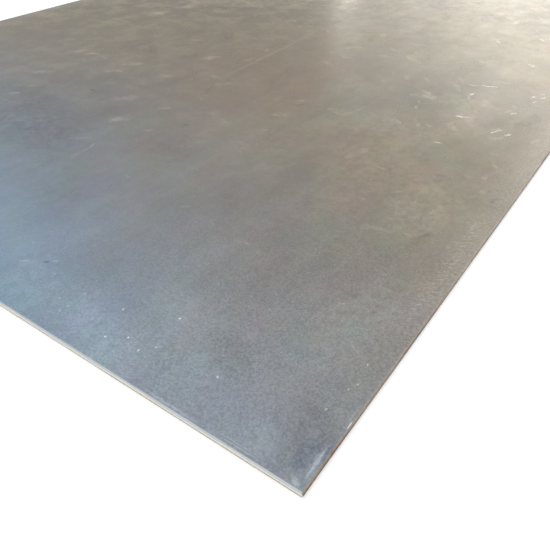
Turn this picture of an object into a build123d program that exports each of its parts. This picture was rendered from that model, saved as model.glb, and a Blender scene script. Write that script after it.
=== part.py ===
from build123d import *
import os

# Hot-rolled steel plate, one trade size, cut to length from mill-edge strip.
# Millimetres. The plate lies flat: X is the rolling direction, Y the width and
# Z up, with the origin at the centre of the underside.

plate_length = 6000.0  # between the burnished lands of the two sheared ends
plate_width = 1500.0  # between the crowns of the two mill edges
plate_thickness = 6.0

# Long sides: left as the rolls made them, slightly crowned, corners rounded.
mill_edge_crown = 0.9  # how far the middle of the side stands out
mill_edge_radius = 1.4  # between the side and either face

# Short ends: cut by a guillotine, which draws the metal down, rubs it smooth
# and then tears it. One end is cut from above and the other from below.
roll_over_reach = 2.0  # where the drawn-down corner begins, in from the end
roll_over_drop = 0.6  # how far that corner is drawn down
burnished_land = 2.0  # upright band that the blade rubbed smooth
fracture_setback = 0.5  # how far the torn face leans in at its far side


def strip_section():
    """Cross-section of the rolled strip, flat on top and below, with mill edges."""
    side = plate_width / 2
    corner = side - mill_edge_crown
    middle = plate_thickness / 2
    top = Line((-corner, plate_thickness), (corner, plate_thickness))
    right = ThreePointArc((corner, plate_thickness), (side, middle), (corner, 0))
    bottom = Line((corner, 0), (-corner, 0))
    left = ThreePointArc((-corner, 0), (-side, middle), (-corner, plate_thickness))
    outline = Plane.YZ * make_face(Curve() + [top, right, bottom, left])
    # Both corners of a side have to fit into its height, with some crown between.
    roundest = 0.45 * plate_thickness
    return fillet(outline.vertices(), min(mill_edge_radius, roundest))


def offcut(cut_x, outward, rolled_z, torn_z):
    """Block that the guillotine parts from one end. Its inner side is the cut face.

    cut_x is where the burnished land stands and outward is +1 or -1 along X.
    rolled_z is the face that the blade draws down and torn_z the one it tears.
    """
    into = 1 if torn_z > rolled_z else -1
    spare = plate_thickness  # how far the block reaches past the plate
    begin = (cut_x - outward * roll_over_reach, rolled_z)
    arris = (cut_x, rolled_z + into * roll_over_drop)
    tear = (cut_x, arris[1] + into * burnished_land)
    foot = (cut_x - outward * fracture_setback, torn_z)
    clear_z = torn_z + into * spare
    above_z = rolled_z - into * spare
    outer_x = cut_x + outward * 2 * spare

    roll_over = TangentArc(begin, arris, tangent=(outward, 0))
    cut_face = Polyline(arris, tear, foot, (foot[0], clear_z))
    waste = Polyline((foot[0], clear_z), (outer_x, clear_z), (outer_x, above_z), (begin[0], above_z), begin)
    profile = Plane.XZ * make_face(Curve() + [roll_over, cut_face, waste])
    return extrude(profile, amount=plate_width / 2 + spare, both=True)


def steel_plate():
    """The strip, with both ends cut square to the rolling direction."""
    # The strip runs on past the plate by its own thickness, until it is cut.
    strip = extrude(strip_section(), amount=plate_length / 2 + plate_thickness, both=True)
    near_end = offcut(-plate_length / 2, -1, rolled_z=plate_thickness, torn_z=0)
    far_end = offcut(plate_length / 2, 1, rolled_z=0, torn_z=plate_thickness)
    return strip - near_end - far_end


os.makedirs("parts", exist_ok=True)
export_step(steel_plate(), "parts/steel_plate.step")
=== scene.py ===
import math

import bpy
from mathutils import Matrix, Vector


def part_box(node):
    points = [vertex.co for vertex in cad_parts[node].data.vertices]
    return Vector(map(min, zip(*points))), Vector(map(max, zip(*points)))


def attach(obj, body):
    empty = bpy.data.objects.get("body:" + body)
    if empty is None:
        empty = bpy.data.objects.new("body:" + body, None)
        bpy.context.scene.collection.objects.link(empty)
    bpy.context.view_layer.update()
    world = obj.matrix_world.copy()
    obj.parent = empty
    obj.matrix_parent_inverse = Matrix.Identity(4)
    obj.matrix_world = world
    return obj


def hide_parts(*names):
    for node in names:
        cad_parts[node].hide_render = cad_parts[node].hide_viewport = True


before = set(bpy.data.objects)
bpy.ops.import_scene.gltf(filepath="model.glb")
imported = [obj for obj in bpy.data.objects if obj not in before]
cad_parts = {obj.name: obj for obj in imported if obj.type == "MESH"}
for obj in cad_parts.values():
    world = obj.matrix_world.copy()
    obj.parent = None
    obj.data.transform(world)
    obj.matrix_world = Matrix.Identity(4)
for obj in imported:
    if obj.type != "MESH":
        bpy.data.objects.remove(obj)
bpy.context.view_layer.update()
plateLow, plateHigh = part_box("steel_plate")
plateSize = plateHigh - plateLow
print("frame loaded, plate", [round(side, 4) for side in plateSize])


# Camera, solved from the plate's edges in the photo: it looks down on the near right corner of the
# plate, along its length and to the left
cameraSettings = {
    "beyondEnd": 0.2428,  # metres from the near end, away from the plate
    "beyondSide": 0.1359,  # metres out from the right mill edge
    "height": 0.4772,
    "yaw": 34.71,  # degrees from the rolling direction, to the left
    "pitch": 38.74,  # degrees down
    "roll": 0.486,
    "lens": 37.887,  # mm
    "sensorWidth": 36.0,
    "clipReach": (0.01, 200.0),
}


def makeCamera(settings):
    cameraData = bpy.data.cameras.new("camera")
    cameraData.lens = settings["lens"]
    cameraData.sensor_width = settings["sensorWidth"]
    cameraData.clip_start, cameraData.clip_end = settings["clipReach"]
    camera = bpy.data.objects.new("camera", cameraData)
    bpy.context.scene.collection.objects.link(camera)
    turn = Matrix.Rotation(math.radians(settings["yaw"] - 90), 4, "Z")
    tip = Matrix.Rotation(math.radians(90 - settings["pitch"]), 4, "X")
    roll = Matrix.Rotation(math.radians(settings["roll"]), 4, "Z")
    place = Matrix.Translation((
        plateLow.x - settings["beyondEnd"],
        plateLow.y - settings["beyondSide"],
        settings["height"],
    ))
    camera.matrix_world = place @ turn @ tip @ roll
    bpy.context.scene.camera = camera


makeCamera(cameraSettings)
print("camera placed")


# Small helpers for node trees
def join(tree, value, socket):
    # a socket is linked, anything else is the input's own value
    if isinstance(value, bpy.types.NodeSocket):
        tree.links.new(value, socket)
    else:
        socket.default_value = value


def addNode(tree, kind, values=None, **settings):
    node = tree.nodes.new(kind)
    for name, setting in settings.items():
        setattr(node, name, setting)
    for label, value in (values or {}).items():
        join(tree, value, node.inputs[label])
    return node


def calc(tree, operation, *values):
    return addNode(tree, "ShaderNodeMath", dict(enumerate(values)), operation=operation).outputs[0]


def times(tree, first, second):
    return calc(tree, "MULTIPLY", first, second)


def plus(tree, first, second):
    return calc(tree, "ADD", first, second)


def minus(tree, first, second):
    return calc(tree, "SUBTRACT", first, second)


def timesPlus(tree, first, second, third):
    return calc(tree, "MULTIPLY_ADD", first, second, third)


def vectorCalc(tree, operation, *values):
    return addNode(tree, "ShaderNodeVectorMath", dict(enumerate(values)), operation=operation).outputs[0]


def centred(tree, value):
    return minus(tree, value, 0.5)


def split(tree, vector):
    return addNode(tree, "ShaderNodeSeparateXYZ", {0: vector}).outputs


def combine(tree, x=0.0, y=0.0, z=0.0):
    return addNode(tree, "ShaderNodeCombineXYZ", {0: x, 1: y, 2: z}).outputs[0]


def remap(tree, value, low, high, toLow=0.0, toHigh=1.0, kind="SMOOTHSTEP"):
    # a smooth step stops at both ends by itself, and a clamp more would fill the renderer's stack
    values = dict(enumerate((value, low, high, toLow, toHigh)))
    return addNode(tree, "ShaderNodeMapRange", values, interpolation_type=kind,
                   clamp=kind == "LINEAR").outputs[0]


def clamped(tree, value):
    return remap(tree, value, 0.0, 1.0, kind="LINEAR")


def noise(tree, vector, scale, detail=3.0, roughness=0.5, seed=0.0, distortion=0.0):
    values = {"Vector": vector, "W": seed, "Scale": scale, "Detail": detail,
              "Roughness": roughness, "Distortion": distortion}
    return addNode(tree, "ShaderNodeTexNoise", values, noise_dimensions="4D").outputs[0]


def opaque(colour):
    return (*colour, 1.0) if isinstance(colour, (tuple, list)) and len(colour) == 3 else colour


def mixColour(tree, factor, first, second, blend="MIX"):
    values = {0: factor, 6: opaque(first), 7: opaque(second)}
    return addNode(tree, "ShaderNodeMix", values, data_type="RGBA", blend_type=blend).outputs[2]


def mixValue(tree, factor, first, second):
    return addNode(tree, "ShaderNodeMix", {0: factor, 2: first, 3: second}).outputs[0]


def ramp(tree, factor, stops):
    node = addNode(tree, "ShaderNodeValToRGB", {0: factor})
    elements = node.color_ramp.elements
    while len(elements) < len(stops):
        elements.new(1.0)
    for element, (position, colour) in zip(elements, stops):
        element.position = position
        element.color = opaque(colour)
    return node.outputs[0]


def newGroup(name, kind, inputs, outputs):
    # inputs are (label, type, default value) and outputs (label, type), a type without its NodeSocket
    tree = bpy.data.node_groups.new(name, kind)
    for label, socketType, default in inputs:
        socket = tree.interface.new_socket(label, in_out="INPUT", socket_type="NodeSocket" + socketType)
        if default is not None:
            socket.default_value = default
    for label, socketType in outputs:
        tree.interface.new_socket(label, in_out="OUTPUT", socket_type="NodeSocket" + socketType)
    entry = tree.nodes.new("NodeGroupInput")
    leave = tree.nodes.new("NodeGroupOutput")
    return tree, entry.outputs, leave.inputs


def useGroup(tree, group, **values):
    kind = "GeometryNodeGroup" if tree.bl_idname == "GeometryNodeTree" else "ShaderNodeGroup"
    node = addNode(tree, kind, node_tree=group)
    for label, value in values.items():
        join(tree, value, node.inputs[label])
    return node.outputs


# Stage: a wide pale floor, a soft dome with a glow past the far end of the plate, and softboxes
stageSettings = {
    "floorReach": 60.0,
    "floorColour": (0.86, 0.86, 0.86),
    "floorTopUp": 0.30,  # shown to the camera and in reflections, so that the open floor is white
    "domeLevels": [(0.0, 1.0), (0.06, 0.70), (0.13, 0.58), (0.3, 0.72), (0.6, 1.04), (1.0, 1.04)],
    "glowFrom": (1.0, 0.0, 0.0),
    "glowReach": (0.72, 0.97),  # cosines of the angles from there at which it starts and is full
    "glowFall": 3.8,
    "glowLevel": 2.1,
    "softboxAim": (-1.5, 0.0, 0.0),
    "softboxes": {
        "wideSoftbox": {"place": (7.0, 3.1, 1.6), "size": (3.2, 3.2), "power": 8.0},
        "stripSoftbox": {"place": (5.4, 3.78, 1.2), "size": (0.3, 1.0), "power": 2.3},
    },
}


def pathMask(tree):
    # 1 for rays that come from the camera, from a reflection or through glass
    light = addNode(tree, "ShaderNodeLightPath").outputs
    seen = calc(tree, "MAXIMUM", light["Is Camera Ray"], light["Is Glossy Ray"])
    return calc(tree, "MAXIMUM", seen, light["Is Transmission Ray"])


def makeFloor(settings):
    reach = settings["floorReach"]
    mesh = bpy.data.meshes.new("studioFloor")
    corners = [(-reach, -reach, 0), (reach, -reach, 0), (reach, reach, 0), (-reach, reach, 0)]
    mesh.from_pydata(corners, [], [(0, 1, 2, 3)])
    floor = bpy.data.objects.new("studioFloor", mesh)
    bpy.context.scene.collection.objects.link(floor)
    material = bpy.data.materials.new("studioFloor")
    material.use_nodes = True
    tree = material.node_tree
    tree.nodes.clear()
    paint = addNode(tree, "ShaderNodeBsdfDiffuse", {"Color": opaque(settings["floorColour"])})
    strength = times(tree, pathMask(tree), settings["floorTopUp"])
    glow = addNode(tree, "ShaderNodeEmission", {"Strength": strength})
    both = addNode(tree, "ShaderNodeAddShader", {0: paint.outputs[0], 1: glow.outputs[0]})
    addNode(tree, "ShaderNodeOutputMaterial", {"Surface": both.outputs[0]})
    mesh.materials.append(material)


def makeDome(settings):
    world = bpy.data.worlds.new("studioDome")
    bpy.context.scene.world = world
    world.use_nodes = True
    tree = world.node_tree
    tree.nodes.clear()
    place = addNode(tree, "ShaderNodeTexCoord")
    height = split(tree, place.outputs["Generated"])[2]
    top = max(level for position, level in settings["domeLevels"])
    stops = [(position, (level / top,) * 3) for position, level in settings["domeLevels"]]
    level = ramp(tree, height, stops)
    toward = addNode(tree, "ShaderNodeVectorMath", {0: place.outputs["Generated"], 1: settings["glowFrom"]},
                     operation="DOT_PRODUCT")
    toward = remap(tree, toward.outputs["Value"], *settings["glowReach"], kind="LINEAR")
    glow = calc(tree, "POWER", toward, settings["glowFall"])
    glow = times(tree, glow, settings["glowLevel"] / top)
    level = vectorCalc(tree, "ADD", level, combine(tree, glow, glow, glow))
    background = addNode(tree, "ShaderNodeBackground", {"Color": level, "Strength": top})
    addNode(tree, "ShaderNodeOutputWorld", {"Surface": background.outputs[0]})


def makeSoftbox(name, aim, place, size, power):
    lamp = bpy.data.lights.new(name, "AREA")
    lamp.shape = "RECTANGLE"
    lamp.size, lamp.size_y = size
    lamp.energy = power
    softbox = bpy.data.objects.new(name, lamp)
    bpy.context.scene.collection.objects.link(softbox)
    softbox.visible_camera = False
    softbox.location = place
    softbox.rotation_euler = (Vector(aim) - Vector(place)).to_track_quat("-Z", "Y").to_euler()


makeFloor(stageSettings)
makeDome(stageSettings)
for softboxName, softboxValues in stageSettings["softboxes"].items():
    makeSoftbox(softboxName, stageSettings["softboxAim"], **softboxValues)
print("stage and lights ready")


# Shader groups that several finishes share
drawnOut = (0.7, 1.0, 1.0)  # makes patches a little longer along the rolling direction
streakDrawnOut = (0.05, 1.0, 1.0)
noiseRange = (0.25, 0.75)  # nearly all values of a noise lie between these
rustSettings = {
    "threshold": 0.78,  # level of the noise above which rust shows, where the amount is 0
    "amountFall": 0.5,  # how much lower that level is where the amount is 1
    "fade": 0.16,
    "colours": [(0.3, (0.075, 0.038, 0.02)), (0.55, (0.19, 0.085, 0.035)), (0.75, (0.33, 0.16, 0.07))],
}


def ellipse(tree, vector, centre, turn, halfLength, halfWidth, soft):
    # 1 inside an ellipse on the XY plane, falling to 0 at its rim over the soft share of its radius
    local = addNode(tree, "ShaderNodeMapping", {
        "Vector": vector,
        "Location": centre,
        "Rotation": combine(tree, z=turn),
        "Scale": combine(tree, halfLength, halfWidth, 1.0),
    }, vector_type="TEXTURE")
    ball = addNode(tree, "ShaderNodeTexGradient", {"Vector": local.outputs[0]}, gradient_type="SPHERICAL")
    return remap(tree, ball.outputs["Fac"], 0.0, soft)


def inFromEdges(tree, x, y):
    # how far in a place is from the nearer end and from the nearer side
    return [minus(tree, half, calc(tree, "ABSOLUTE", value))
            for value, half in ((x, plateHigh.x), (y, plateHigh.y))]


def makeRolledTexture():
    # clouds, long streaks along the rolling direction and fine grain, each from 0 to 1
    tree, given, result = newGroup(
        "rolledTexture", "ShaderNodeTree",
        [("Vector", "Vector", None), ("Clouds", "Float", 5.0),
         ("Streaks", "Float", 30.0), ("Grain", "Float", 420.0)],
        [("Clouds", "Float"), ("Streaks", "Float"), ("Grain", "Float")])
    stretched = vectorCalc(tree, "MULTIPLY", given["Vector"], drawnOut)
    clouds = noise(tree, stretched, given["Clouds"], detail=5.0, roughness=0.6, seed=1.7, distortion=0.6)
    drawn = vectorCalc(tree, "MULTIPLY", given["Vector"], streakDrawnOut)
    streaks = noise(tree, drawn, given["Streaks"], detail=4.0, roughness=0.6, seed=5.2)
    grain = noise(tree, given["Vector"], given["Grain"], detail=3.0, roughness=0.65, seed=8.9)
    for label, value in (("Clouds", clouds), ("Streaks", streaks), ("Grain", grain)):
        join(tree, remap(tree, value, *noiseRange), result[label])
    return tree


def makeEdgeWear():
    # 1 on the nearest arris, falling to 0 at a ragged distance in from it
    tree, given, result = newGroup(
        "edgeWear", "ShaderNodeTree",
        [("Vector", "Vector", None), ("Reach", "Float", 0.004),
         ("Ragged", "Float", 0.004), ("Scale", "Float", 60.0)],
        [("Wear", "Float")])
    nearest = calc(tree, "MINIMUM", *inFromEdges(tree, *split(tree, given["Vector"])[:2]))
    rag = centred(tree, noise(tree, given["Vector"], given["Scale"], detail=5.0, roughness=0.65, seed=3.3))
    shifted = timesPlus(tree, rag, given["Ragged"], nearest)
    join(tree, remap(tree, shifted, 0.0, given["Reach"], 1.0, 0.0), result["Wear"])
    return tree


def makeScatterStrokes():
    # tapered strokes or blots, one at most in each cell of a random grid, each turned its own way
    tree, given, result = newGroup(
        "scatterStrokes", "ShaderNodeTree",
        [("Vector", "Vector", None), ("Scale", "Float", 10.0),
         ("Share", "Float", 0.4), ("Length", "Float", 0.02),
         ("Width", "Float", 0.001), ("Soft", "Float", 0.5)],
        [("Mask", "Float")])
    cells = addNode(tree, "ShaderNodeTexVoronoi", {"Vector": given["Vector"], "Scale": given["Scale"]},
                    voronoi_dimensions="2D").outputs
    turnChance, sizeChance, there = addNode(tree, "ShaderNodeSeparateColor", {0: cells["Color"]}).outputs
    smallest = 0.2  # as a share of the full size
    size = times(tree, sizeChance, sizeChance)
    size = timesPlus(tree, size, 1 - smallest, smallest)
    turn = times(tree, turnChance, math.tau)
    length = times(tree, given["Length"], size)
    width = times(tree, given["Width"], size)
    inside = ellipse(tree, given["Vector"], cells["Position"], turn, length, width, given["Soft"])
    kept = calc(tree, "LESS_THAN", there, given["Share"])
    join(tree, times(tree, inside, kept), result["Mask"])
    return tree


def makeSingleMark():
    # one tapered mark at a given place
    tree, given, result = newGroup(
        "singleMark", "ShaderNodeTree",
        [("Vector", "Vector", None), ("Centre", "Vector", None),
         ("Turn", "Float", 0.0), ("Length", "Float", 0.01),
         ("Width", "Float", 0.003), ("Soft", "Float", 0.5)],
        [("Mask", "Float")])
    inside = ellipse(tree, given["Vector"], given["Centre"], given["Turn"],
                     given["Length"], given["Width"], given["Soft"])
    join(tree, inside, result["Mask"])
    return tree


def makeRustBloom(settings):
    # thin brown rust in patches: where it is, and its colour
    tree, given, result = newGroup(
        "rustBloom", "ShaderNodeTree",
        [("Vector", "Vector", None), ("Scale", "Float", 40.0), ("Amount", "Float", 0.5)],
        [("Mask", "Float"), ("Color", "Color")])
    patches = noise(tree, given["Vector"], given["Scale"], detail=6.0, roughness=0.62, seed=12.1,
                    distortion=0.4)
    least = timesPlus(tree, given["Amount"], -settings["amountFall"], settings["threshold"])
    most = plus(tree, least, settings["fade"])
    join(tree, remap(tree, patches, least, most), result["Mask"])
    shade = noise(tree, given["Vector"], scale=260.0, detail=3.0, roughness=0.6, seed=14.4)
    join(tree, ramp(tree, shade, settings["colours"]), result["Color"])
    return tree


rolledTexture = makeRolledTexture()
edgeWear = makeEdgeWear()
scatterStrokes = makeScatterStrokes()
singleMark = makeSingleMark()
rustBloom = makeRustBloom(rustSettings)
print("shader groups ready")


def newFinish(name):
    material = bpy.data.materials.new(name)
    material.use_nodes = True
    tree = material.node_tree
    shader = tree.nodes["Principled BSDF"]
    place = addNode(tree, "ShaderNodeTexCoord").outputs["Object"]
    return material, tree, shader.inputs, place


def addBump(tree, inputs, height):
    # the height is in millimetres
    bump = addNode(tree, "ShaderNodeBump", {"Strength": 1.0, "Distance": 0.001, "Height": height})
    tree.links.new(bump.outputs[0], inputs["Normal"])


def ragged(tree, vector, scale, stray, detail=3.0):
    # the same places on the XY plane, each moved a little by noise, so that a mark's rim frays
    shake = addNode(tree, "ShaderNodeTexNoise", {"Vector": vector, "Scale": scale, "Detail": detail})
    shift = vectorCalc(tree, "MULTIPLY_ADD", shake.outputs["Color"], (stray, stray, 0.0),
                       (-stray / 2, -stray / 2, 0.0))
    return vectorCalc(tree, "ADD", vectorCalc(tree, "MULTIPLY", vector, (1.0, 1.0, 0.0)), shift)


def varied(tree, light, value, depth):
    # light times a factor that strays by up to depth / 2 either side of 1
    return times(tree, light, timesPlus(tree, centred(tree, value), depth, 1.0))


def shaded(tree, colour, light):
    return mixColour(tree, 1.0, colour, combine(tree, light, light, light), "MULTIPLY")


# Mill scale on the two broad faces
scaleSettings = {
    # the blue-grey and warm colours below are partly painted reflection: blue sky at the ends, warm light in
    # between
    "blueReach": (0.30, 0.62),  # how far in from an end the blue-grey band fades, right and left side
    "blueRight": (0.262, 0.283, 0.318),
    "blueLeft": (0.228, 0.318, 0.412),
    "endTint": (0.935, 0.99, 0.985),  # times the colour, a hand's breadth in from an end
    "neutral": (0.224, 0.219, 0.213),
    "warm": (0.266, 0.206, 0.146),
    "olive": (0.244, 0.219, 0.166),
    "dun": (0.240, 0.194, 0.112),  # further in along the plate
    "plain": (0.228, 0.208, 0.168),  # in the far half, which is outside the view
    "blueFar": (0.226, 0.250, 0.282),
    "rim": (0.256, 0.228, 0.205),  # along the two long sides
    "slateAndShade": (0.172, 0.198, 0.240),  # dark blue-grey patches by the near corner, partly painted shade of a slight bend there
    "bare": (0.78, 0.76, 0.70),  # metal in the scuffs
    "driftStretch": (0.5, 1.0, 1.0),
    "bandDrift": 1.4,  # how far the rims of the blue-grey bands stray
    "tintLean": 0.12,  # how much a tint patch turns warm to olive
    "furtherSlant": 0.5,  # how much a place further to the left counts as further in along the plate
    "tintNoise": {"Scale": 18.0, "Detail": 6.0, "Roughness": 0.68},
    "hueSpread": 0.27,  # how far the tint strays from place to place
    # how much lighter and darker each texture makes the face, and how much paler each rubbed place is
    "mottle": (0.75, 2.30),  # near an end, and well in from it
    "streaks": (0.06, 0.05),  # thin and wide
    "closeGrain": 0.05,
    "fineGrain": 0.20,
    "flecks": 0.09,
    "farFlecks": 0.135,
    "dots": 0.5,
    "wearPale": 0.26,
    "endPale": 0.04,
    "rimWander": 0.05,  # how far the inner line of the gritty rims strays
    "rimPale": 0.20,
    "rimTint": 0.40,
    "gritReach": 0.070,  # how far in from a long side the face is gritty
    "gritPitch": (0.0030, 0.0050),  # along and across the plate
    "gritDepth": 0.28,
    "ticksReach": (0.006, 0.034),  # how far in from a long side it has slanted ticks
    "tickPitch": 0.010,
    "tickSlant": 0.7,
    "tickWander": 2.0,
    "tickPale": 0.42,
    "roughness": (0.18, 0.30),
    "metallic": 0.9,
    "waves": 0.09,  # mm, low swells a hand apart
    "ripples": 0.022,  # mm, a finger apart
    "grain": 0.002,  # mm
}

# Noises of the mill scale: how fine, how many layers of detail, how rough, and the seed
scaleNoises = {
    "drift": (1.6, 4.0, 0.5, 21.0),
    "mottle": (2.4, 9.0, 0.76, 25.0),
    "fine": (90.0, 5.0, 0.7, 27.0),
    "flecks": (15.0, 5.0, 0.66, 49.0),
    "broken": (34.0, 5.0, 0.7, 33.0),
    "torn": (260.0, 2.0, 0.6, 31.0),
    "feathered": (75.0, 5.0, 0.7, 39.0),
    "grit": (1.0, 3.0, 0.65, 43.0),
    "swell": (11.0, 2.0, 0.5, 29.0),
    "ripples": (60.0, 2.0, 0.5, 37.0),
}

# Where each trait of the mill scale begins and is full, then what it goes from and to if not 0 and 1
scaleFades = {
    # metres in from the nearer end
    "endTint": (0.02, 0.11, 1.0, 0.0),
    "paleEnd": (0.02, 0.22, 1.0, 0.0),
    "rimFromEnd": (0.06, 0.32, 0.15, 1.0),
    "ticksBegin": (0.22, 0.34),
    "ticksStop": (0.42, 0.60, 1.0, 0.0),
    # metres in from the nearer end, with the slant to the left
    "dun": (0.9, 1.7, 0.0, 0.8),
    "flecksFurther": (1.3, 1.9, 0.85, 2.4),
    # metres along from the near end, and from the near right corner
    "farHalf": (2.0, 3.6),
    "flecksPast": (1.6, 2.7),
    "speckle": (0.15, 0.75, 0.48, 0.04),
    # share of the width, from the right side to the left
    "leftBlue": (0.05, 0.4),
    "flecksLeft": (0.3, 0.7, 0.55, 2.4),
    # times the reach of the blue-grey band
    "neutral": (0.0, 1.0),
    "warm": (0.7, 1.9),
    "plain": (0.5, 1.6),
    "mottle": (0.3, 5.0),
    "flecksInland": (0.3, 1.0, 0.35, 1.0),
    "blotsInland": (0.6, 1.8),
    # levels of a noise or a pattern
    "olive": (0.40, 0.60),
    "flecks": (0.44, 0.62),
    "broken": (0.40, 0.60, 0.1, 1.4),
    "torn": (0.36, 0.58, 0.15, 1.3),
    "feathered": (0.40, 0.58, 0.5, 1.7),
    "grit": (0.35, 0.68, -0.5, 1.0),
    "tickCore": (0.28, 0.46),
    "tickGrit": (-0.2, 0.6),
    "roughness": (0.8, 2.0),
}

# Random blots and strokes: cells to a metre, the share of them that has one, half its greatest
# length and width in metres, and how much paler it is (below 0 is darker)
blotKinds = [
    (9.0, 0.5, 0.05, 0.016, 0.18),
    (4.0, 0.4, 0.11, 0.05, 0.10),
    (16.0, 0.5, 0.03, 0.008, 0.20),
    (6.0, 0.4, 0.07, 0.02, -0.12),
]
strokeKinds = [
    (7.0, 0.5, 0.05, 0.0010, 0.14),
    (20.0, 0.35, 0.012, 0.0014, 0.25),
    (60.0, 0.12, 0.0016, 0.0012, 0.80),
]
dotSizes = (95.0, 0.4, 0.0034, 0.0024)  # the same without the last value

# Marks on the top face, read off the photo and turned into metres in from the near end and from the
# right mill edge: where a mark starts and ends, how wide it is and how much paler (below 0 is darker)
crispMarks = [
    # bent scratch and a dark nick by the left side of the view
    ((0.302, 0.676), (0.325, 0.675), 0.005, 0.24),
    ((0.325, 0.675), (0.345, 0.676), 0.005, 0.30),
    ((0.344, 0.676), (0.364, 0.684), 0.005, 0.40),
    ((0.084, 0.466), (0.088, 0.460), 0.006, -0.50),
    ((0.066, 0.494), (0.075, 0.483), 0.005, 0.30),
    ((0.091, 0.459), (0.097, 0.450), 0.005, 0.30),
    # worn streaks and grit by the near corner, the first and widest streak partly wear and partly a painted
    # highlight of a slight bend there, and a ground nick on the arris
    ((0.010, 0.0072), (0.058, 0.0082), 0.0052, 0.62),
    ((0.016, 0.0104), (0.062, 0.0108), 0.0020, 0.22),
    ((0.008, 0.0048), (0.050, 0.0052), 0.0020, 0.20),
    ((0.005, 0.0100), (0.009, 0.0160), 0.0090, 0.50),
    ((0.084, 0.0028), (0.094, 0.0028), 0.0040, 1.80),
    # straight lines along the plate, the last one short and beside the arris by the near corner
    ((0.700, 0.704), (1.220, 0.716), 0.013, 0.20),
    ((0.430, 0.184), (0.960, 0.190), 0.010, 0.06),
    ((0.082, 0.0060), (0.122, 0.0056), 0.0036, 0.26),
    # double scratch and a worn streak beside the sheared end
    ((0.0060, 0.040), (0.0052, 0.110), 0.0016, 0.40),
    ((0.0050, 0.112), (0.0056, 0.214), 0.0042, 0.36),
    ((0.0092, 0.048), (0.0080, 0.112), 0.0014, 0.30),
    # pale specks
    ((0.078, 0.310), (0.080, 0.311), 0.0026, 1.50),
    ((0.106, 0.243), (0.108, 0.243), 0.0032, 2.20),
    ((0.034, 0.292), (0.036, 0.292), 0.0026, 1.40),
    ((0.048, 0.270), (0.050, 0.270), 0.0028, 1.60),
    ((0.040, 0.245), (0.042, 0.246), 0.0028, 1.40),
    ((0.055, 0.233), (0.057, 0.233), 0.0026, 1.40),
    ((0.061, 0.148), (0.063, 0.149), 0.0026, 1.20),
    ((0.170, 0.026), (0.172, 0.027), 0.0026, 1.20),
    ((0.139, 0.021), (0.141, 0.021), 0.0026, 1.00),
    ((0.127, 0.026), (0.129, 0.027), 0.0026, 1.00),
    ((0.092, 0.032), (0.094, 0.032), 0.0026, 1.00),
]

# Ragged bright scuffs in line along the right side, given in the same way
scuffs = [
    ((0.727, 0.188), (0.731, 0.166), 0.0053, 0.80),
    ((0.861, 0.196), (0.868, 0.180), 0.0075, 0.95),
    ((0.866, 0.182), (0.874, 0.168), 0.0053, 0.50),
    ((0.958, 0.204), (0.985, 0.214), 0.0060, 0.30),
    ((0.978, 0.212), (1.004, 0.207), 0.0053, 0.45),
    ((1.054, 0.212), (1.064, 0.176), 0.0060, 0.75),
    ((1.040, 0.236), (1.050, 0.214), 0.0053, 0.35),
    ((0.828, 0.114), (0.840, 0.104), 0.0060, 0.75),
    ((0.842, 0.106), (0.852, 0.098), 0.0053, 0.40),
    ((0.832, 0.088), (0.842, 0.080), 0.0090, 0.80),
    ((0.938, 0.108), (0.948, 0.102), 0.0083, 0.75),
    ((1.022, 0.092), (1.032, 0.084), 0.0060, 0.50),
    ((1.042, 0.102), (1.062, 0.094), 0.0060, 0.45),
    ((1.052, 0.082), (1.066, 0.076), 0.0053, 0.50),
    ((1.072, 0.090), (1.086, 0.080), 0.0053, 0.40),
    ((0.836, 0.260), (0.862, 0.274), 0.0053, -0.35),
    ((0.846, 0.272), (0.868, 0.284), 0.0045, 0.25),
    ((0.882, 0.282), (0.892, 0.292), 0.0045, 0.30),
    ((1.242, 0.150), (1.256, 0.166), 0.0105, 0.35),
    ((1.376, 0.274), (1.392, 0.288), 0.0135, 0.35),
    ((1.460, 0.186), (1.476, 0.198), 0.0135, 0.30),
]

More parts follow.
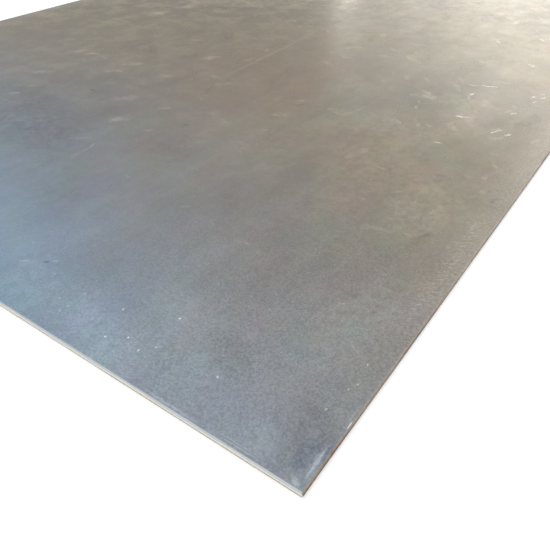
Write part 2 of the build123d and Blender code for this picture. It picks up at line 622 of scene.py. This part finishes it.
# Soft smudges and broad paler or darker patches on the top face, given in the same way
softSmudges = [
    ((0.835, 1.446), (0.870, 1.428), 0.062, 0.36),
    ((1.036, 1.216), (1.078, 1.176), 0.054, 0.34),
    ((1.136, 1.192), (1.170, 1.164), 0.046, 0.30),
    ((0.736, 1.209), (0.748, 1.192), 0.026, 0.24),
    ((0.672, 1.125), (0.700, 1.100), 0.036, 0.26),
    ((0.688, 1.077), (0.698, 1.052), 0.014, 0.34),
    ((0.534, 1.070), (0.550, 1.046), 0.034, 0.32),
    ((0.466, 1.014), (0.482, 0.993), 0.018, 0.18),
    ((0.423, 1.006), (0.430, 0.996), 0.016, 0.45),
    ((0.686, 0.952), (0.711, 0.916), 0.034, 0.30),
    ((0.630, 0.948), (0.654, 0.914), 0.026, 0.20),
    ((0.824, 0.823), (0.856, 0.802), 0.036, 0.36),
    ((0.676, 0.826), (0.697, 0.806), 0.030, 0.24),
    ((0.527, 0.808), (0.560, 0.780), 0.038, 0.24),
    ((0.454, 0.732), (0.471, 0.716), 0.034, 0.24),
    ((0.354, 0.731), (0.369, 0.710), 0.024, 0.20),
    ((0.453, 0.649), (0.467, 0.637), 0.018, 0.22),
    ((0.714, 0.689), (0.734, 0.671), 0.024, 0.20),
    ((0.870, 0.734), (0.902, 0.716), 0.028, 0.22),
    ((0.544, 0.695), (0.556, 0.678), 0.014, 0.24),
    ((0.741, 0.498), (0.757, 0.484), 0.016, 0.18),
    ((0.579, 0.475), (0.591, 0.465), 0.012, 0.18),
    ((0.656, 0.489), (0.667, 0.475), 0.018, 0.20),
    ((0.296, 0.410), (0.302, 0.401), 0.012, 0.12),
    ((0.350, 0.396), (0.353, 0.392), 0.012, 0.14),
    ((0.272, 0.277), (0.278, 0.269), 0.010, 0.12),
    ((1.300, 1.130), (1.470, 0.900), 0.260, 0.26),
    ((1.770, 0.300), (1.800, 0.270), 0.060, 0.25),
    ((1.600, 0.540), (1.640, 0.480), 0.110, -0.12),
    ((0.529, 0.888), (0.535, 0.880), 0.018, -0.26),
    ((0.512, 0.601), (0.516, 0.595), 0.012, -0.30),
    ((0.030, 0.026), (0.080, 0.040), 0.080, -0.09),
    ((0.010, 0.056), (0.040, 0.074), 0.044, 0.10),
    ((0.430, 0.081), (0.445, 0.074), 0.016, -0.18),
    ((0.575, 0.034), (0.600, 0.026), 0.010, -0.20),
    ((0.035, 0.150), (0.060, 0.190), 0.080, 0.03),
    ((0.100, 0.210), (0.130, 0.260), 0.090, 0.07),
    ((0.420, 0.240), (0.720, 0.200), 0.240, 0.12),
    ((0.160, 0.080), (0.330, 0.060), 0.140, 0.15),
    ((0.018, 0.240), (0.060, 0.400), 0.100, 0.14),
    ((0.090, 0.130), (0.105, 0.190), 0.080, -0.09),
    ((0.420, 0.100), (0.600, 0.110), 0.150, 0.17),
    ((0.800, 0.170), (1.020, 0.190), 0.130, 0.16),
    ((0.640, 0.340), (0.820, 0.260), 0.220, 0.10),
    ((0.420, 0.420), (0.700, 0.460), 0.200, 0.07),
    ((1.280, 1.140), (1.340, 1.280), 0.220, 0.22),
    ((0.310, 0.720), (0.420, 1.040), 0.240, -0.14),
    ((0.030, 0.420), (0.080, 0.500), 0.110, 0.10),
    ((0.160, 0.540), (0.240, 0.660), 0.170, -0.06),
    ((0.770, 0.960), (0.830, 1.060), 0.150, -0.12),
    ((0.400, 0.540), (0.480, 0.580), 0.150, -0.06),
]

# Places peppered with bright dots, and dark slate with painted shade by the near corner: how strongly, from
# 0 to 1
pepperedPatches = [
    ((1.030, 0.098), (1.055, 0.078), 0.050, 0.9),
    ((0.975, 0.105), (0.990, 0.090), 0.050, 0.6),
    ((0.862, 0.284), (0.872, 0.268), 0.040, 0.5),
    ((0.045, 0.430), (0.050, 0.300), 0.050, 0.5),
    ((0.090, 0.390), (0.070, 0.350), 0.040, 0.4),
    ((0.300, 0.026), (0.520, 0.026), 0.036, 0.4),
    ((1.250, 0.170), (1.400, 0.200), 0.060, 0.5),
]
slateAndShadePatches = [
    ((0.020, 0.019), (0.054, 0.019), 0.027, 0.60),
    ((0.030, 0.004), (0.070, 0.004), 0.008, 0.7),
]

# Broad patches where the warm tint turns to olive, or to brown where the last value is below 0
tintPatches = [
    ((0.700, 0.340), (1.050, 0.420), 0.340, 0.9),
    ((0.600, 1.340), (0.860, 1.180), 0.300, 0.7),
    ((0.780, 0.400), (1.100, 0.560), 0.260, 0.9),
    ((0.420, 0.860), (0.760, 0.620), 0.360, -0.8),
    ((0.900, 0.800), (1.300, 1.000), 0.400, -0.7),
    ((1.050, 0.520), (1.600, 0.780), 0.300, 1.0),
    ((0.340, 0.150), (0.900, 0.090), 0.260, -0.4),
    ((0.620, 0.130), (0.680, 0.200), 0.180, 1.0),
    ((1.240, 0.330), (1.380, 0.410), 0.240, 1.4),
]


def addMarks(tree, marks, vector, soft):
    # the sum of all the marks, each as strong as its last value says
    total = 0.0
    for start, end, width, strength in marks:
        along, across = end[0] - start[0], end[1] - start[1]
        centre = (plateLow.x + start[0] + along / 2, plateLow.y + start[1] + across / 2, 0.0)
        mark = useGroup(tree, singleMark, Vector=vector, Centre=centre, Turn=math.atan2(across, along),
                        Length=(math.hypot(along, across) + width) / 2, Width=width / 2, Soft=soft)[0]
        total = timesPlus(tree, mark, strength, total)
    return total


def scatter(tree, vector, scale, share, length, width, soft):
    return useGroup(tree, scatterStrokes, Vector=vector, Scale=scale, Share=share,
                    Length=length, Width=width, Soft=soft)[0]


def makeHotRolledScale(settings, noises, fades):
    material, tree, inputs, place = newFinish("hotRolledScale")
    broad = useGroup(tree, rolledTexture, Vector=place, Clouds=3.2, Streaks=30.0, Grain=420.0)
    close = useGroup(tree, rolledTexture, Vector=place, Clouds=24.0, Streaks=9.0, Grain=150.0)
    x, y = split(tree, place)[:2]
    fromEnd, fromSide = inFromEdges(tree, x, y)

    def fade(value, name):
        return remap(tree, value, *fades[name])

    def fadeAlong(name):
        return remap(tree, x, *(plateLow.x + reach for reach in fades[name]))

    # blue-grey along the two ends, warm grey to olive between them: partly the mill scale's own tints,
    # partly painted reflection of blue sky at the ends and of warm light between
    share = remap(tree, y, plateLow.y, plateHigh.y, kind="LINEAR")
    reach = mixValue(tree, share, *settings["blueReach"])
    drift = noise(tree, vectorCalc(tree, "MULTIPLY", place, settings["driftStretch"]), *noises["drift"])
    band = calc(tree, "DIVIDE", fromEnd, reach)
    band = timesPlus(tree, centred(tree, drift), settings["bandDrift"], band)
    lean = addMarks(tree, tintPatches, ragged(tree, place, scale=6.0, stray=0.30), soft=0.9)
    lean = timesPlus(tree, lean, settings["tintLean"], drift)
    blue = mixColour(tree, fade(share, "leftBlue"), settings["blueRight"], settings["blueLeft"])
    beyond = fadeAlong("farHalf")
    blue = mixColour(tree, beyond, blue, settings["blueFar"])
    warm = mixColour(tree, fade(lean, "olive"), settings["warm"], settings["olive"])
    colour = mixColour(tree, fade(band, "neutral"), blue, settings["neutral"])
    colour = mixColour(tree, fade(band, "warm"), colour, warm)
    colour = mixColour(tree, fade(fromEnd, "endTint"), colour, settings["endTint"], "MULTIPLY")
    fromRight = minus(tree, y, plateLow.y)
    further = timesPlus(tree, fromRight, settings["furtherSlant"], fromEnd)
    colour = mixColour(tree, fade(further, "dun"), colour, settings["dun"])
    inland = times(tree, beyond, fade(band, "plain"))
    colour = mixColour(tree, inland, colour, settings["plain"])

    # tint and light stray in patches of many sizes, from a hand's breadth to a grain
    squeezed = vectorCalc(tree, "MULTIPLY", place, drawnOut)
    tint = addNode(tree, "ShaderNodeTexNoise", {"Vector": squeezed, **settings["tintNoise"]})
    spread = settings["hueSpread"]
    shift = vectorCalc(tree, "MULTIPLY_ADD", tint.outputs["Color"], (spread,) * 3, (1 - spread / 2,) * 3)
    colour = mixColour(tree, 1.0, colour, shift, "MULTIPLY")
    mottle = noise(tree, squeezed, *noises["mottle"])
    mottleDepth = mixValue(tree, fade(band, "mottle"), *settings["mottle"])
    light = varied(tree, 1.0, mottle, mottleDepth)
    for texture, depth in zip((broad, close), settings["streaks"]):
        light = varied(tree, light, texture["Streaks"], depth)
    handled = vectorCalc(tree, "SUBTRACT", place, (plateLow.x, plateLow.y, 0.0))
    handled = addNode(tree, "ShaderNodeVectorMath", {0: handled}, operation="LENGTH").outputs["Value"]
    light = varied(tree, light, broad["Grain"], fade(handled, "speckle"))
    light = varied(tree, light, close["Grain"], settings["closeGrain"])
    fine = noise(tree, place, *noises["fine"])
    light = varied(tree, light, fine, settings["fineGrain"])
    flecks = noise(tree, ragged(tree, place, scale=20.0, stray=0.03), *noises["flecks"])
    flecks = fade(flecks, "flecks")
    fleckDepth = times(tree, fade(share, "flecksLeft"), settings["flecks"])
    fleckDepth = times(tree, fleckDepth, fade(further, "flecksFurther"))
    fleckDepth = mixValue(tree, fadeAlong("flecksPast"), fleckDepth, settings["farFlecks"])
    fleckDepth = times(tree, fleckDepth, fade(band, "flecksInland"))
    light = varied(tree, light, flecks, fleckDepth)

    # blots and strokes all over, then the marks of the lists above, crisp and soft
    broken = fade(noise(tree, place, *noises["broken"]), "broken")
    frayed = ragged(tree, place, scale=26.0, stray=0.05, detail=6.0)
    for *sizes, pale in blotKinds:
        blots = times(tree, scatter(tree, frayed, *sizes, soft=0.35), broken)
        blots = times(tree, blots, fade(band, "blotsInland"))
        light = timesPlus(tree, blots, pale, light)
    thin = ragged(tree, place, scale=160.0, stray=0.004)
    for *sizes, pale in strokeKinds:
        light = timesPlus(tree, scatter(tree, thin, *sizes, soft=0.6), pale, light)
    light = plus(tree, light, addMarks(tree, crispMarks, thin, soft=0.7))
    torn = fade(noise(tree, place, *noises["torn"]), "torn")
    scraped = addMarks(tree, scuffs, ragged(tree, place, scale=110.0, stray=0.014, detail=4.0), soft=0.8)
    scraped = times(tree, scraped, torn)
    dots = scatter(tree, thin, *dotSizes, soft=0.6)
    dots = times(tree, dots, addMarks(tree, pepperedPatches, frayed, soft=0.7))
    scraped = timesPlus(tree, dots, settings["dots"], scraped)
    smudges = addMarks(tree, softSmudges, ragged(tree, place, scale=42.0, stray=0.034, detail=6.0), soft=0.8)
    feathered = fade(noise(tree, place, *noises["feathered"]), "feathered")
    light = timesPlus(tree, smudges, feathered, light)

    # rubbed bright along every arris, paler towards the ends and gritty in from the long sides
    wear = useGroup(tree, edgeWear, Vector=place, Reach=0.005, Ragged=0.010, Scale=60.0)[0]
    light = timesPlus(tree, wear, settings["wearPale"], light)
    light = timesPlus(tree, fade(fromEnd, "paleEnd"), settings["endPale"], light)
    rim = timesPlus(tree, centred(tree, mottle), settings["rimWander"], fromSide)
    rim = remap(tree, rim, 0.0, settings["gritReach"], 1.0, 0.0)
    rim = times(tree, rim, fade(fromEnd, "rimFromEnd"))
    light = timesPlus(tree, rim, settings["rimPale"], light)
    colour = mixColour(tree, times(tree, rim, settings["rimTint"]), colour, settings["rim"])
    alongPitch, acrossPitch = settings["gritPitch"]
    grains = vectorCalc(tree, "MULTIPLY", place, (1 / alongPitch, 1 / acrossPitch, 1.0))
    along, across = split(tree, grains)[:2]
    grit = noise(tree, combine(tree, plus(tree, along, across), across), *noises["grit"])
    grit = fade(grit, "grit")
    light = timesPlus(tree, times(tree, grit, rim), settings["gritDepth"], light)
    inner, outer = settings["ticksReach"]
    middle = (inner + outer) / 2
    row = timesPlus(tree, y, settings["tickSlant"], x)
    row = calc(tree, "DIVIDE", row, settings["tickPitch"])
    row = timesPlus(tree, centred(tree, mottle), settings["tickWander"], row)
    ticks = fade(calc(tree, "PINGPONG", row, 0.5), "tickCore")
    ticks = times(tree, ticks, fade(grit, "tickGrit"))
    ticks = times(tree, ticks, remap(tree, fromSide, inner, middle))
    ticks = times(tree, ticks, remap(tree, fromSide, middle, outer, 1.0, 0.0))
    ticks = times(tree, ticks, fade(fromEnd, "ticksBegin"))
    ticks = times(tree, ticks, fade(fromEnd, "ticksStop"))
    light = timesPlus(tree, ticks, settings["tickPale"], light)
    # darker blue-grey by the near corner, partly painted shade of a slight bend there
    slateAndShade = times(tree, addMarks(tree, slateAndShadePatches, thin, soft=0.8), feathered)
    colour = mixColour(tree, clamped(tree, slateAndShade), colour, settings["slateAndShade"])
    scraped = clamped(tree, scraped)
    colour = mixColour(tree, scraped, shaded(tree, colour, light), settings["bare"])
    join(tree, colour, inputs["Base Color"])

    rough = plus(tree, close["Clouds"], plus(tree, mottle, fine))
    rough = remap(tree, rough, *fades["roughness"], *settings["roughness"], kind="LINEAR")
    join(tree, rough, inputs["Roughness"])
    inputs["Metallic"].default_value = settings["metallic"]
    swell = times(tree, noise(tree, squeezed, *noises["swell"]), settings["waves"])
    ripples = noise(tree, place, *noises["ripples"])
    swell = timesPlus(tree, ripples, settings["ripples"], swell)
    addBump(tree, inputs, timesPlus(tree, broad["Grain"], settings["grain"], swell))
    return material


# Bright cut metal on the sheared ends: heights and depths are in metres
shearSettings = {
    "worn": (0.52, 0.56, 0.60),
    "land": (0.74, 0.73, 0.67),
    "torn": (0.73, 0.69, 0.60),
    # rusty fracture foot, darkened further as a painted shadow line
    "foot": (0.24, 0.17, 0.115),
    "rag": 0.0010,  # how far the lines between these colours stray up and down
    "rubLevels": (0.4, 0.65),
    "wornTo": (0.0002, 0.0009),  # how deep the worn arris goes, least and most
    "wornFade": 0.0003,
    "tornFrom": (0.0026, 0.0032),  # depths at which the torn face begins and is full
    "footFrom": (0.0048, 0.0056),
    "dullFrom": (0.0006, 0.0040),
    "scoreShade": 0.30,  # how much lighter and darker the scores are
    "rubShade": 0.24,
    "roughness": (0.30, 0.60),
    "metallic": 0.75,
    "rubbing": 0.04,  # mm, upright scores
}


def makeShearedSteel(settings):
    material, tree, inputs, place = newFinish("shearedSteel")
    parts = split(tree, place)
    # depth from the face that the blade drew down: the top at the near end, the underside at the far end
    far = calc(tree, "GREATER_THAN", parts["X"], 0.0)
    depth = mixValue(tree, far, minus(tree, plateHigh.z, parts["Z"]), parts["Z"])
    rag = centred(tree, noise(tree, place, scale=55.0, detail=4.0, roughness=0.6, seed=31.0))
    depth = timesPlus(tree, rag, settings["rag"], depth)
    rub = noise(tree, place, scale=14.0, detail=4.0, roughness=0.6, seed=35.0)
    wornTo = remap(tree, rub, *settings["rubLevels"], *settings["wornTo"])
    worn = remap(tree, minus(tree, depth, wornTo), 0.0, settings["wornFade"], 1.0, 0.0)
    colour = mixColour(tree, worn, settings["land"], settings["worn"])
    colour = mixColour(tree, remap(tree, depth, *settings["tornFrom"]), colour, settings["torn"])
    # darker at the foot: rusty fracture and a painted shadow line
    colour = mixColour(tree, remap(tree, depth, *settings["footFrom"]), colour, settings["foot"])
    upright = vectorCalc(tree, "MULTIPLY", place, (1.0, 1.0, 0.1))
    scores = noise(tree, upright, scale=700.0, detail=3.0, roughness=0.6, seed=33.0)
    light = varied(tree, varied(tree, 1.0, scores, settings["scoreShade"]), rub, settings["rubShade"])
    join(tree, shaded(tree, colour, light), inputs["Base Color"])
    rough = remap(tree, depth, *settings["dullFrom"], *settings["roughness"])
    join(tree, rough, inputs["Roughness"])
    inputs["Metallic"].default_value = settings["metallic"]
    addBump(tree, inputs, times(tree, scores, settings["rubbing"]))
    return material


# Dark rolled sides, tan at the top arris, then brown with rust and painted shade, and nearly black below:
# painted shade at the foot
millEdgeSettings = {
    "worn": (0.38, 0.34, 0.30),
    "tan": (0.34, 0.275, 0.22),
    "brown": (0.17, 0.11, 0.07),
    "foot": (0.05, 0.032, 0.02),
    "wornLevels": (0.4, 0.8),  # levels of the streaks at which tan turns to worn metal
    "brownBelow": (0.0042, 0.0053),  # metres above the underside between which tan turns to brown
    "footBelow": (0.0032, 0.0044),  # and brown to nearly black, painted shade at the foot
    "stray": 0.0012,  # how far those lines stray up and down
    "rusty": 0.6,  # how strongly the rust covers the side
    "grainShade": 0.3,
    "roughness": (0.42, 0.85),  # where there is no rust, and in full rust
    "metallic": (0.7, 0.0),
    "grain": 0.05,  # mm
}


def makeMillEdge(settings):
    material, tree, inputs, place = newFinish("rustyShadedMillEdge")
    texture = useGroup(tree, rolledTexture, Vector=place, Clouds=14.0, Streaks=300.0, Grain=420.0)
    z = split(tree, place)[2]
    lift = timesPlus(tree, centred(tree, texture["Clouds"]), settings["stray"], z)
    worn = remap(tree, texture["Streaks"], *settings["wornLevels"])
    colour = mixColour(tree, worn, settings["tan"], settings["worn"])
    # darker towards the underside: brown with rust and painted shade, then nearly black painted shade at the
    # foot
    for limits, shade in (("brownBelow", "brown"), ("footBelow", "foot")):
        below = remap(tree, lift, *settings[limits], 1.0, 0.0)
        colour = mixColour(tree, below, colour, settings[shade])
    rust = useGroup(tree, rustBloom, Vector=place, Scale=12.0, Amount=0.45)
    rusty = times(tree, rust["Mask"], settings["rusty"])
    colour = mixColour(tree, rusty, colour, rust["Color"])
    light = varied(tree, 1.0, texture["Grain"], settings["grainShade"])
    join(tree, shaded(tree, colour, light), inputs["Base Color"])
    for label, levels in (("Roughness", settings["roughness"]), ("Metallic", settings["metallic"])):
        join(tree, remap(tree, rusty, 0.0, 1.0, *levels, kind="LINEAR"), inputs[label])
    addBump(tree, inputs, times(tree, texture["Grain"], settings["grain"]))
    return material


hotRolledScale = makeHotRolledScale(scaleSettings, scaleNoises, scaleFades)
shearedSteel = makeShearedSteel(shearSettings)
rustyShadedMillEdge = makeMillEdge(millEdgeSettings)
print("finishes ready")


# The plate's skin: a lattice box whose sides are drawn to the rolled and the sheared profile
skinSettings = {
    "Length": plateSize.x,
    "Width": plateSize.y,
    "Thickness": plateSize.z,
    "Edge Crown": 0.0009,
    "Edge Radius": 0.0014,
    "Edge Wander": 0.0008,
    "Nick Depth": 0.0006,
    "Roll Over Reach": 0.002,
    "Roll Over Drop": 0.0006,
    "Land": 0.002,
    "Setback": 0.0005,
    "Shear Wander": 0.0004,
    "Burr": 0.0003,
    "Columns": 440,
    "Rows": 70,
    "Layers": 17,
    "Seed": 7.0,
}
skinDetails = {
    "crowding": 0.85,  # how much closer the rows are towards the ends and sides, from 0 to 1
    "flatSide": 0.9999,  # a face of the lattice cube whose middle is beyond this is an end or a side
    "sharpBend": 32,  # degrees, flatter bends shade smooth
    "tearWander": 0.002,  # how unevenly the torn face begins
    "burrHeight": 0.0004,
    "burrLevels": (0.3, 0.7),
    "nickLevels": (0.66, 0.74),
}


def makeShearProfile(settings):
    # how far a sheared end lies in from its burnished land, by depth below the drawn-down face
    tree, given, result = newGroup(
        "shearProfile", "GeometryNodeTree",
        [("Depth", "Float", 0.0), ("Across", "Float", 0.0),
         ("Thickness", "Float", 0.006), ("Reach", "Float", 0.002),
         ("Drop", "Float", 0.0006), ("Land", "Float", 0.002),
         ("Setback", "Float", 0.0005), ("Wander", "Float", 0.0004),
         ("Burr", "Float", 0.0003), ("Seed", "Float", 0.0)],
        [("Inset", "Float")])
    depth, reach, drop, across = (given[label] for label in ("Depth", "Reach", "Drop", "Across"))
    # drawn-down corner: an arc that leaves the face level and meets the land
    squares = timesPlus(tree, reach, reach, times(tree, drop, drop))
    radius = calc(tree, "DIVIDE", squares, times(tree, drop, 2.0))
    chord = minus(tree, times(tree, radius, 2.0), depth)
    swing = calc(tree, "SQRT", calc(tree, "MAXIMUM", times(tree, chord, depth), 0.0))
    rolled = calc(tree, "MAXIMUM", minus(tree, reach, swing), 0.0)
    rolled = times(tree, rolled, calc(tree, "LESS_THAN", depth, drop))
    # torn face: it leans in below an uneven line, with a burr at its foot
    line = noise(tree, combine(tree, across), scale=26.0, detail=4.0, roughness=0.6, seed=given["Seed"])
    tearStart = plus(tree, drop, given["Land"])
    tearStart = timesPlus(tree, centred(tree, line), settings["tearWander"], tearStart)
    torn = remap(tree, depth, tearStart, given["Thickness"], 0.0, given["Setback"], "LINEAR")
    rough = noise(tree, combine(tree, across, depth), scale=90.0, detail=3.0, roughness=0.7,
                  seed=given["Seed"])
    wander = times(tree, rough, given["Wander"])
    wander = times(tree, wander, remap(tree, depth, tearStart, given["Thickness"]))
    fromFoot = minus(tree, given["Thickness"], depth)
    burr = remap(tree, fromFoot, 0.0, settings["burrHeight"], given["Burr"], 0.0)
    patchy = noise(tree, combine(tree, across), scale=140.0, detail=3.0, roughness=0.6, seed=given["Seed"])
    burr = times(tree, burr, remap(tree, patchy, *settings["burrLevels"]))
    inset = plus(tree, plus(tree, rolled, torn), minus(tree, wander, burr))
    join(tree, inset, result["Inset"])
    return tree


def makeSkinTree(shearProfile, settings):
    numbers = [(label, "Int" if isinstance(value, int) else "Float", value)
               for label, value in skinSettings.items()]
    finishes = [(label, "Material", None) for label in ("Face Finish", "End Finish", "Side Finish")]
    tree, given, result = newGroup("plateSkin", "GeometryNodeTree", numbers + finishes,
                                   [("Geometry", "Geometry")])
    lattice = addNode(tree, "GeometryNodeMeshCube", {
        "Size": (2, 2, 2),
        "Vertices X": given["Columns"],
        "Vertices Y": given["Rows"],
        "Vertices Z": given["Layers"],
    })
    s, r, q = split(tree, addNode(tree, "GeometryNodeInputPosition").outputs[0])

    # which faces are an end or a side is kept from here, where the lattice is still a plain cube
    marked = tree.nodes.new("GeometryNodeCaptureAttribute")
    marked.domain = "FACE"
    join(tree, lattice.outputs["Mesh"], marked.inputs["Geometry"])
    for label, place in (("On End", s), ("On Side", r)):
        marked.capture_items.new("FLOAT", label)
        flat = calc(tree, "GREATER_THAN", calc(tree, "ABSOLUTE", place), settings["flatSide"])
        join(tree, flat, marked.inputs[label])

    # closer rows towards the ends and sides
    def crowded(share):
        wave = calc(tree, "SINE", times(tree, share, math.pi))
        return timesPlus(tree, wave, settings["crowding"] / math.pi, share)

    half = times(tree, given["Thickness"], 0.5)
    z = timesPlus(tree, calc(tree, "SINE", times(tree, q, math.pi / 2)), half, half)
    along = crowded(s)
    across = crowded(r)
    halfLength = times(tree, given["Length"], 0.5)
    halfWidth = times(tree, given["Width"], 0.5)
    roughX = times(tree, along, halfLength)
    roughY = times(tree, across, halfWidth)

    # rolled sides: a crown, rounded corners, a slight wander along the length and nicks in the arrises
    radius = given["Edge Radius"]
    fromMiddle = calc(tree, "ABSOLUTE", minus(tree, z, half))
    bulge = calc(tree, "POWER", calc(tree, "DIVIDE", fromMiddle, half), 2.0)
    crown = times(tree, bulge, given["Edge Crown"])
    straight = minus(tree, half, radius)
    past = calc(tree, "MAXIMUM", minus(tree, fromMiddle, straight), 0.0)
    level = minus(tree, times(tree, radius, radius), times(tree, past, past))
    corner = minus(tree, radius, calc(tree, "SQRT", calc(tree, "MAXIMUM", level, 0.0)))
    edgeLine = combine(tree, roughX, calc(tree, "SIGN", r))
    wander = noise(tree, edgeLine, scale=4.0, detail=5.0, roughness=0.6, seed=given["Seed"])
    wander = times(tree, wander, given["Edge Wander"])
    arrisLine = combine(tree, roughX, calc(tree, "SIGN", r), calc(tree, "SIGN", q))
    nicks = noise(tree, arrisLine, scale=45.0, detail=2.0, roughness=0.6, seed=given["Seed"])
    nicks = times(tree, remap(tree, nicks, *settings["nickLevels"]), given["Nick Depth"])
    nicks = times(tree, nicks, calc(tree, "POWER", calc(tree, "DIVIDE", fromMiddle, half), 3.0))
    sideInset = plus(tree, plus(tree, crown, corner), plus(tree, wander, nicks))

    # sheared ends: drawn down on top at the near end, and below at the far end
    shared = {"Across": roughY, "Thickness": given["Thickness"], "Reach": given["Roll Over Reach"],
              "Drop": given["Roll Over Drop"], "Land": given["Land"], "Setback": given["Setback"],
              "Wander": given["Shear Wander"], "Burr": given["Burr"], "Seed": given["Seed"]}
    below = minus(tree, given["Thickness"], z)
    nearInset = useGroup(tree, shearProfile, Depth=below, **shared)[0]
    farInset = useGroup(tree, shearProfile, Depth=z, **shared)[0]
    endInset = mixValue(tree, calc(tree, "GREATER_THAN", s, 0.0), nearInset, farInset)
    x = times(tree, along, minus(tree, halfLength, endInset))
    y = times(tree, across, minus(tree, halfWidth, sideInset))

    moved = addNode(tree, "GeometryNodeSetPosition", {
        "Geometry": marked.outputs["Geometry"],
        "Position": combine(tree, x, y, z),
    })
    bend = addNode(tree, "GeometryNodeInputMeshEdgeAngle").outputs["Unsigned Angle"]
    smooth = addNode(tree, "GeometryNodeSetShadeSmooth", {
        "Geometry": moved.outputs[0],
        "Shade Smooth": calc(tree, "LESS_THAN", bend, math.radians(settings["sharpBend"])),
    }, domain="EDGE")
    mesh = addNode(tree, "GeometryNodeRealizeInstances", {0: smooth.outputs[0]}).outputs[0]
    for label, where in (("Face Finish", True), ("End Finish", marked.outputs["On End"]),
                         ("Side Finish", marked.outputs["On Side"])):
        mesh = addNode(tree, "GeometryNodeSetMaterial", {
            "Geometry": mesh,
            "Selection": where,
            "Material": given[label],
        }).outputs[0]
    join(tree, mesh, result["Geometry"])
    return tree


def growSkin(name, tree, values):
    # runs the tree once on an empty mesh and keeps its result as a plain mesh
    seedling = bpy.data.objects.new("seedling", bpy.data.meshes.new("seedling"))
    bpy.context.scene.collection.objects.link(seedling)
    modifier = seedling.modifiers.new("grow", "NODES")
    modifier.node_group = tree
    for item in tree.interface.items_tree:
        if item.in_out == "INPUT" and item.name in values:
            modifier[item.identifier] = values[item.name]
    bpy.context.view_layer.update()
    depsgraph = bpy.context.evaluated_depsgraph_get()
    mesh = bpy.data.meshes.new_from_object(seedling.evaluated_get(depsgraph))
    mesh.name = name
    bpy.data.objects.remove(seedling)
    piece = bpy.data.objects.new(name, mesh)
    bpy.context.scene.collection.objects.link(piece)
    return piece


skinTree = makeSkinTree(makeShearProfile(skinDetails), skinDetails)
plateSkin = growSkin("plateSkin", skinTree, {
    **skinSettings,
    "Face Finish": hotRolledScale,
    "End Finish": shearedSteel,
    "Side Finish": rustyShadedMillEdge,
})
print("plate skin:", len(plateSkin.data.vertices), "points,", len(plateSkin.data.polygons), "faces")
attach(plateSkin, "root")
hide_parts("steel_plate")

bpy.context.scene.view_settings.view_transform = "Standard"
